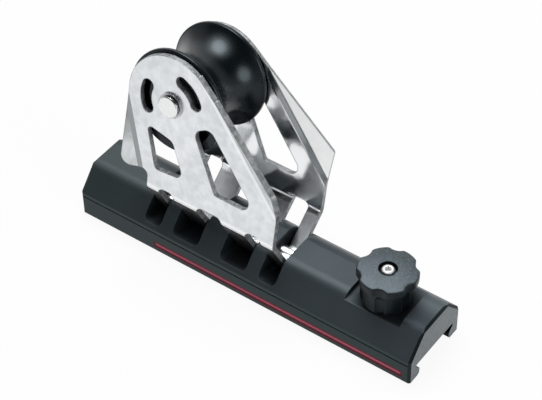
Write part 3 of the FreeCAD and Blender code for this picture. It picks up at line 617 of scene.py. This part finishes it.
def polished_stainless():
    """The folded sheet, from mirror and satin faces to torn edges."""
    material, tree, shader = new_material("polished_stainless")
    place = object_place(tree)
    at = sheet_places(tree, place)
    cloud = clouds_on(tree, place, per_metre=45.0)
    painted_streaks = clouds_on(tree, place, per_metre=110.0)
    nicks = clouds_on(tree, place, per_metre=380.0)
    mottle = grain_on(tree, place, per_metre=260.0, detail=1.0)["Mask"]
    grain = grain_on(tree, place, per_metre=1500.0, detail=4.0)
    edges = edges_on(tree, place, radius=0.6 * mm)
    patches = blend_values(tree, mottle_share, cloud, mottle)
    torn = blend_values(tree, grain_share, nicks, grain["Mask"])
    # The wings carry painted reflections, with painted shade high up.
    wings = lay_over(tree, blend_colours(tree, painted_streaks, *wing_painted_reflections), (
        (at["high_wing"], 1.0, high_wing_painted_shade),
        (at["inner_wing"], 1.0, blend_colours(tree, painted_streaks, *inner_wing_painted_light)),
    ))
    feed(tree, shader["Base Color"], lay_over(tree, blend_colours(tree, cloud, *mirror_faces), (
        (at["satin"], 1.0, blend_colours(tree, patches, *satin_faces)),
        (at["wing"], 1.0, wings),
        (at["strap"], 1.0, blend_colours(tree, mottle, *brushed_straps)),
        # Dark lines painted as shade at the creases and along every edge.
        (at["crease"], 0.75, painted_shade_line),
        (edges["Edge"], 0.8, painted_shade_line),
        (at["cut_edge"], 1.0, blend_colours(tree, torn, *sheared_edges)),
    )))
    feed(tree, shader["Metallic"], blend_values(tree, at["cut_edge"], 1.0, sheared_metal))
    rough = mirror_roughness
    for dull_place, roughness in duller_faces:
        rough = blend_values(tree, at[dull_place], rough, roughness)
    rough = calculate(tree, "ADD", rough, product(tree, cloud, cloud_roughness))
    feed(tree, shader["Roughness"], blend_values(
        tree, at["cut_edge"], rough, sheared_roughness))
    waves = add_node(tree, "ShaderNodeTexNoise", {"Vector": place, "Scale": 90.0, "Detail": 2.0})
    wavy = bumped(tree, waves.outputs["Fac"], strength=0.2, distance=0.6 * mm,
                  normal=edges["Normal"])
    grain_strength = blend_values(tree, at["cut_edge"], *grain_strengths)
    feed(tree, shader["Normal"], bumped(
        tree, grain["Height"], strength=grain_strength, distance=0.3 * mm, normal=wavy))
    return material


print("finish written: polished stainless")

# %% [markdown]
# Turned steel shows rings: the tool leaves a fine groove at each turn. A wave along the piece's
# own axis, very close together, gives that look on the axle and the plunger. The Mapping node
# first turns the pattern so that its Z axis is the axis of the lathe. Near each end of the axle,
# the shade of two fine grooves is painted as dark lines at set distances from its middle. The
# socket in the head of the knob's screw is painted pale, as light inside it.

# %% Finish: turned stainless, for the axle and the pins
ring_waves_per_metre = 36000.0
groove_edge = (0.26 * mm, 0.16 * mm)
# Painted shade of two fine grooves on the axle.
groove_painted_shade = (0.02, 0.025, 0.025, 1)
# Painted light inside the socket of the screw.
socket_painted_light = (0.80, 0.81, 0.81, 1)
darkest_grain = 0.82
grain_roughness_step = 0.06


def turned_stainless(name, centre, turn, colour, roughness, grooves=(), metal=1.0, socket=0.0):
    """Turned steel with tool rings, the painted shade of grooves at distances from the middle, and
    painted light in a socket.
    """
    material, tree, shader = new_material(name, Metallic=metal)
    place = object_place(tree)
    on_lathe = add_node(tree, "ShaderNodeMapping", {
        "Vector": combine(tree, "SUBTRACT", place, centre), "Rotation": turn})
    spot = parts_of(tree, on_lathe.outputs[0])
    across = calculate(tree, "SQRT", calculate(
        tree, "ADD", product(tree, spot["X"], spot["X"]), product(tree, spot["Y"], spot["Y"])))
    path = calculate(tree, "ADD", across, spot["Z"])
    rings = calculate(tree, "SINE", product(tree, path, ring_waves_per_metre))
    grain = grain_on(tree, place, per_metre=3500.0)
    edges = edges_on(tree, place, radius=0.2 * mm)
    dark = tuple(part * darkest_grain for part in colour)
    steel = blend_colours(tree, grain["Mask"], dark + (1.0,), colour + (1.0,))
    from_middle = size_of(tree, spot["Z"])
    # Each groove's shade is painted as a dark line.
    for distance in grooves:
        off_groove = distance_from(tree, from_middle, distance)
        in_groove = ramp_between(tree, off_groove, *groove_edge)
        steel = blend_colours(tree, in_groove, steel, groove_painted_shade)
    # Painted light inside the socket, whose walls would keep light out.
    if socket:
        in_socket = ramp_between(tree, across, socket + 0.1 * mm, socket)
        steel = blend_colours(tree, in_socket, steel, socket_painted_light)
    feed(tree, shader["Base Color"], steel)
    feed(tree, shader["Roughness"], blend_values(
        tree, grain["Mask"], roughness, roughness + grain_roughness_step))
    feed(tree, shader["Normal"], bumped(
        tree, rings, strength=0.08, distance=0.05 * mm, normal=edges["Normal"]))
    return material


print("finish written: turned stainless")

# %% [markdown]
# The sheave is black acetal, turned and polished: nearly a mirror, but its reflections stay soft.
# The bearing rollers and washers are plastics too, so one function makes them all, with its own
# grain and gloss for each.

# %% Finish: smooth plastics
rubbed_paler = 3.0
rubbed_share = 0.5
roughness_spread = 0.03


def smooth_plastic(name, tints, roughness, grains, depth, gloss):
    """A plastic with a fine grain, whose edges rub paler."""
    material, tree, shader = new_material(
        name, Specular_IOR_Level=gloss, Specular_Tint=cool_sheen)
    place = object_place(tree)
    cloud = clouds_on(tree, place, per_metre=120.0)
    grain = grain_on(tree, place, per_metre=grains, detail=2.0)
    edges = edges_on(tree, place, radius=0.4 * mm)
    dark, light = tints
    rubbed = tuple(part * rubbed_paler for part in light)
    feed(tree, shader["Base Color"], lay_over(
        tree, blend_colours(tree, cloud, dark + (1.0,), light + (1.0,)),
        ((edges["Worn"], rubbed_share, rubbed + (1.0,)),)))
    feed(tree, shader["Roughness"], blend_values(
        tree, grain["Mask"], roughness - roughness_spread, roughness + roughness_spread))
    feed(tree, shader["Normal"], bumped(
        tree, grain["Height"], strength=0.2, distance=depth, normal=edges["Normal"]))
    return material


print("finish written: smooth plastic")

# %% [markdown]
# The knob is moulded in black plastic with glass in it. The mould gives it a fine even texture, and
# short glass fibres lie bare at the surface as pale specks. Its top is painted grey as light, paler
# on the near side and darker on the far side, while its sides under the rim are painted black as
# shade, with a weaker reflection. A paler line along its edges is a painted highlight. The
# direction of the normal tells top from side.

# %% Finish: moulded knob
# Painted light and shade: a paler top, darker on its far side, and black sides with a weaker
# reflection.
knob_sides_painted_shade = ((0.002, 0.004, 0.005, 1), (0.004, 0.007, 0.009, 1))
knob_top_painted_light = ((0.048, 0.062, 0.072, 1), (0.084, 0.104, 0.120, 1))
knob_far_top_painted_shade = (0.018, 0.025, 0.027, 1)
knob_side_painted_shade_sheen = (0.42, 0.52, 0.58, 1)
fibre_grey = (0.20, 0.24, 0.265, 1)
# A painted highlight along the edges.
rim_painted_highlight = (0.10, 0.125, 0.14, 1)
far_side_y = (-10.0 * mm, 9.0 * mm)
knob_top_facing = (0.55, 0.90)
fibre_limits = (0.54, 0.68)
knob_roughness = (0.32, 0.40)


def moulded_knob():
    """Moulded plastic with glass fibres, painted lighter on top and darker on the sides."""
    material, tree, shader = new_material("moulded_black", Specular_IOR_Level=0.36)
    place = object_place(tree)
    on_top = ramp_between(tree, parts_of(tree, surface_normal(tree))["Z"], *knob_top_facing)
    far_side = ramp_between(tree, parts_of(tree, place)["Y"], *far_side_y)
    cloud = clouds_on(tree, place, per_metre=150.0)
    grain = grain_on(tree, place, per_metre=2600.0, detail=2.0)
    fibres = add_node(tree, "ShaderNodeTexNoise", {
        "Vector": place, "Scale": 3200.0, "Detail": 1.0}).outputs["Fac"]
    specks = product(tree, ramp_between(tree, fibres, *fibre_limits), on_top)
    edges = edges_on(tree, place, radius=0.5 * mm)
    # Painted light on the top, darker on the far side as painted shade.
    knob_top_light = lay_over(
        tree, blend_colours(tree, cloud, *knob_top_painted_light), ((far_side, 0.85, knob_far_top_painted_shade),))
    # The sides are painted black as shade.
    feed(tree, shader["Base Color"], lay_over(tree, blend_colours(tree, cloud, *knob_sides_painted_shade), (
        (on_top, 1.0, knob_top_light),
        (specks, 0.65, fibre_grey),
        # A painted highlight along the edges.
        (edges["Edge"], 0.3, rim_painted_highlight),
    )))
    # Painted shade: a weaker reflection on the sides.
    sheen = blend_colours(tree, on_top, knob_side_painted_shade_sheen, cool_sheen)
    feed(tree, shader["Specular Tint"], sheen)
    feed(tree, shader["Roughness"], blend_values(tree, grain["Mask"], *knob_roughness))
    feed(tree, shader["Normal"], bumped(
        tree, grain["Height"], strength=0.3, distance=0.3 * mm, normal=edges["Normal"]))
    return material


print("finish written: moulded knob")

# %% [markdown]
# The stripe is a printed line: pale red along its middle, and dark red at its borders and its
# ends, where the ink is thick. Its height on the wall makes the mask.

# %% Finish: red stripe
printed_ink = ((0.46, 0.105, 0.155, 1), (0.56, 0.14, 0.20, 1))
border_ink = (0.13, 0.004, 0.014, 1)
pale_line_z = stripe_middle.z + 0.3 * mm
border_z = (stripe_half.z * 0.25, stripe_half.z * 0.62)
stripe_end_x = (stripe_half.x - 1.1 * mm, stripe_half.x - 0.5 * mm)


def red_stripe():
    """The printed line, with darker borders."""
    material, tree, shader = new_material("red_stripe", Roughness=0.5, Specular_IOR_Level=0.1)
    place = object_place(tree)
    spot = parts_of(tree, place)
    off_line = distance_from(tree, spot["Z"], pale_line_z)
    beside_line = distance_from(tree, spot["X"], stripe_middle.x)
    border = calculate(tree, "MAXIMUM", ramp_between(tree, off_line, *border_z),
                       ramp_between(tree, beside_line, *stripe_end_x))
    grain = grain_on(tree, place, per_metre=3000.0)
    ink = blend_colours(tree, grain["Mask"], *printed_ink)
    feed(tree, shader["Base Color"], blend_colours(tree, border, ink, border_ink))
    feed(tree, shader["Normal"], bumped(
        tree, grain["Height"], strength=0.1, distance=0.05 * mm))
    return material


print("finish written: red stripe")

# %% [markdown]
# Most of the small pieces are turned on a lathe, and they differ only in their axis, their colour
# and their polish. A table says so, one row for each piece, and a loop makes their materials. The
# rings run round the middle of a piece's box, or of a neighbour's that shares its axis.

# %% Finishes of the turned pieces
axle_turn = (math.radians(90.0) + frame_lean, 0.0, 0.0)
upright = (0.0, 0.0, 0.0)
along_car = (0.0, math.radians(90.0), 0.0)
mirror_steel = (0.91, 0.925, 0.925)
bright_steel = (0.80, 0.81, 0.82)
drawn_steel = (0.55, 0.56, 0.58)
dull_steel = (0.40, 0.42, 0.43)
brass = (0.72, 0.55, 0.28)
axle_look = {"grooves": (20.1 * mm, 20.8 * mm)}
screw_look = {"metal": 0.35, "socket": 1.8 * mm}
turned_pieces = (
    # node, material, node on the same axis, turn, colour, roughness, own look
    ("axle", "turned_axle", "axle", axle_turn, mirror_steel, 0.12, axle_look),
    ("inner_sleeve", "turned_sleeve", "axle", axle_turn, bright_steel, 0.20, {}),
    ("outer_race", "turned_race", "axle", axle_turn, bright_steel, 0.20, {}),
    ("retaining_rings", "spring_rings", "axle", axle_turn, drawn_steel, 0.25, {}),
    ("hinge_pin", "turned_pin", "hinge_pin", along_car, bright_steel, 0.20, {}),
    ("hinge_grub_screw", "turned_grub", "hinge_pin", along_car, drawn_steel, 0.25, {}),
    ("guide_bushing", "turned_bushing", "knob", upright, bright_steel, 0.20, {}),
    ("plunger_pin", "turned_plunger", "knob", upright, bright_steel, 0.15, {}),
    ("plunger_spring", "drawn_spring", "knob", upright, drawn_steel, 0.25, {}),
    ("knob_screw", "turned_screw", "knob", upright, dull_steel, 0.30, screw_look),
    ("knob_insert", "turned_brass", "knob", upright, brass, 0.25, {}),
)
finishes = {"car_body": black_anodised(), "folded_frame": polished_stainless()}
for node_name, name, centred_on, turn, colour, roughness, look in turned_pieces:
    low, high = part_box(centred_on)
    centre = tuple((low + high) / 2)
    finishes[node_name] = turned_stainless(name, centre, turn, colour, roughness, **look)
print("turned pieces:", len(turned_pieces))

# %% Finishes of the plastic pieces and the stripes
acetal = ((0.0006, 0.002, 0.003), (0.0012, 0.003, 0.004))
washer_black = ((0.004, 0.005, 0.006), (0.007, 0.008, 0.01))
ivory = ((0.55, 0.53, 0.48), (0.55, 0.53, 0.48))
finishes["sheave"] = smooth_plastic(
    "gloss_black", acetal, roughness=0.27, grains=2500.0, depth=0.005 * mm, gloss=0.36)
finishes["knob"] = moulded_knob()
finishes["bearing_rollers"] = smooth_plastic(
    "bearing_ivory", ivory, roughness=0.40, grains=3000.0, depth=0.02 * mm, gloss=0.50)
finishes["spring_seat"] = smooth_plastic(
    "washer_black", washer_black, roughness=0.45, grains=3000.0, depth=0.02 * mm, gloss=0.40)
finishes["thrust_washer_near"] = finishes["spring_seat"]
finishes["thrust_washer_far"] = finishes["spring_seat"]
finishes["side_stripe_near"] = red_stripe()
finishes["side_stripe_far"] = finishes["side_stripe_near"]
for name, finish in finishes.items():
    nodes[name].data.materials.clear()
    nodes[name].data.materials.append(finish)
print("finished nodes:", len(finishes), "left plain:", sorted(set(nodes) - set(finishes)))

# %% [markdown]
# The studio is a pale floor under soft light. The picture's background is pure white, and a mirror
# or a polished plate shows that white too, so the floor and the world answer camera, glossy and
# transmission rays with white. In a gloss the floor greys with distance, as a table does that ends.

# %% Studio floor
floor_side = 6.0
floor_gap = 0.1 * mm
floor_whiteness = 0.92
far_floor_whiteness = 0.5
far_floor_starts = (0.5, 1.3)
floor_colour = (0.85, 0.85, 0.86, 1)


def seen_directly(tree):
    """1 for rays from the camera, from a gloss or through glass, and 0 for all others."""
    ray = add_node(tree, "ShaderNodeLightPath").outputs
    either = calculate(tree, "MAXIMUM", ray["Is Camera Ray"], ray["Is Glossy Ray"])
    return calculate(tree, "MAXIMUM", either, ray["Is Transmission Ray"])


bpy.ops.object.select_all(action="DESELECT")
bpy.ops.mesh.primitive_plane_add(size=floor_side, location=(0, 0, cad_low.z - floor_gap))
floor = bpy.context.active_object
floor.name = "studio_floor"
material, tree, shader = new_material("studio_floor", Roughness=0.9, Specular_IOR_Level=0.0)
feed(tree, shader["Base Color"], floor_colour)
away = combine(tree, "LENGTH", object_place(tree))
in_gloss = add_node(tree, "ShaderNodeLightPath").outputs["Is Glossy Ray"]
far_away = product(tree, ramp_between(tree, away, *far_floor_starts), in_gloss)
whiteness = blend_values(tree, far_away, floor_whiteness, far_floor_whiteness)
white = add_node(tree, "ShaderNodeEmission", {"Strength": 1.0})
join = add_node(tree, "ShaderNodeMixShader", {
    0: product(tree, seen_directly(tree), whiteness),
    1: tree.nodes["Principled BSDF"].outputs[0], 2: white.outputs[0]})
feed(tree, tree.nodes["Material Output"].inputs["Surface"], join.outputs[0])
floor.data.materials.append(material)
floor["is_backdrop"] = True
print("floor:", floor_side, "m")

# %% [markdown]
# A real studio is white only as far as its backdrop goes: high up behind the object, low at its
# sides and front, and dark overhead. Black plastic looks black because it mirrors that dark
# ceiling, so for glossy rays the world fades out above the backdrop. The overhead lamp hangs in a
# white cloth that glows round it, and a gloss shows that glow as a soft spot. A small white card
# stands in front, low, so that the wings of the frame have something bright to mirror. All other
# rays meet a plain soft light.

# %% World
sky_strength = 0.32
ceiling_strength = 0.04
side_strength = 0.5
glow_strength = 3.0
card_strength = 0.65
backdrop_rise = 0.72
backdrop_fade = (0.15, 0.42)
backdrop_facing = (0.75, 0.93)
glow_angles = (math.radians(34.0), math.radians(12.0))
card_angles = (math.radians(22.0), math.radians(13.0))
towards_front = (math.sin(camera_azimuth), -math.cos(camera_azimuth), 0.0)
overhead_direction = Vector((-0.25, 0.21, 0.95)).normalized()
card_direction = Vector((0.33, -0.90, 0.29)).normalized()
keeps_root_real = 1.0001


def spot_towards(tree, direction, aim, angles):
    """A round spot in the sky: 0 at the first angle from an aim and 1 within the second."""
    near_aim = combine(tree, "DOT_PRODUCT", direction, aim)
    return ramp_between(tree, near_aim, *(math.cos(angle) for angle in angles))


world = bpy.data.worlds.new("studio")
bpy.context.scene.world = world
world.use_nodes = True
tree = world.node_tree
direction = add_node(tree, "ShaderNodeTexCoord").outputs["Generated"]
rise = parts_of(tree, direction)["Z"]
ahead = combine(tree, "DOT_PRODUCT", direction, towards_front)
behind = calculate(tree, "MAXIMUM", product(tree, ahead, -1.0), 0.0)
height = calculate(tree, "SUBTRACT", rise, product(tree, behind, backdrop_rise))
above_backdrop = ramp_between(tree, height, *backdrop_fade)
level_part = calculate(tree, "SQRT", calculate(
    tree, "SUBTRACT", keeps_root_real, product(tree, rise, rise)))
squarely_behind = calculate(tree, "DIVIDE", behind, level_part)
facing_backdrop = ramp_between(tree, squarely_behind, *backdrop_facing)
backdrop = blend_values(tree, facing_backdrop, side_strength, 1.0)
mirrored = blend_values(tree, above_backdrop, backdrop, ceiling_strength)
for aim, angles, strength in (
        (overhead_direction, glow_angles, glow_strength),
        (card_direction, card_angles, card_strength)):
    spot = spot_towards(tree, direction, aim, angles)
    mirrored = calculate(tree, "ADD", mirrored, product(tree, spot, strength))
from_camera = add_node(tree, "ShaderNodeLightPath").outputs["Is Camera Ray"]
shown = blend_values(tree, from_camera, mirrored, 1.0)
background = tree.nodes["Background"].inputs
feed(tree, background["Strength"], blend_values(tree, seen_directly(tree), sky_strength, shown))
feed(tree, background["Color"], (1, 1, 1, 1))
print("world ready")

# %% [markdown]
# Two round lamps do the rest. The overhead one gives the soft shadow under the car, and the one at
# the right lights the cut end and the sides that face it. Neither shows to the camera.

# %% Softboxes
right_direction = Vector((0.93, -0.11, 0.36)).normalized()
softboxes = (
    # name, direction, distance in metres, width in metres, watts
    ("overhead", overhead_direction, 1.1, 0.66, 8.5),
    ("right_side", right_direction, 1.2, 0.70, 5.8),
)
for name, towards, distance, width, watts in softboxes:
    data = bpy.data.lights.new(name, "AREA")
    data.shape = "DISK"
    data.size = width
    data.energy = watts
    lamp = bpy.data.objects.new(name, data)
    bpy.context.scene.collection.objects.link(lamp)
    lamp.location = camera_target + towards * distance
    lamp.rotation_mode = "QUATERNION"
    lamp.rotation_quaternion = (-towards).to_track_quat("-Z", "Y")
    lamp.visible_camera = False
print("lamps ready:", len(softboxes))

# %% [markdown]
# Last come the two boxes, of the solids as they came in and of the dressed part. They have to be
# equal, because a finish never changes a size.

# %% Keep the two boxes and finish
bpy.context.scene.view_settings.view_transform = "Standard"
low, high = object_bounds()
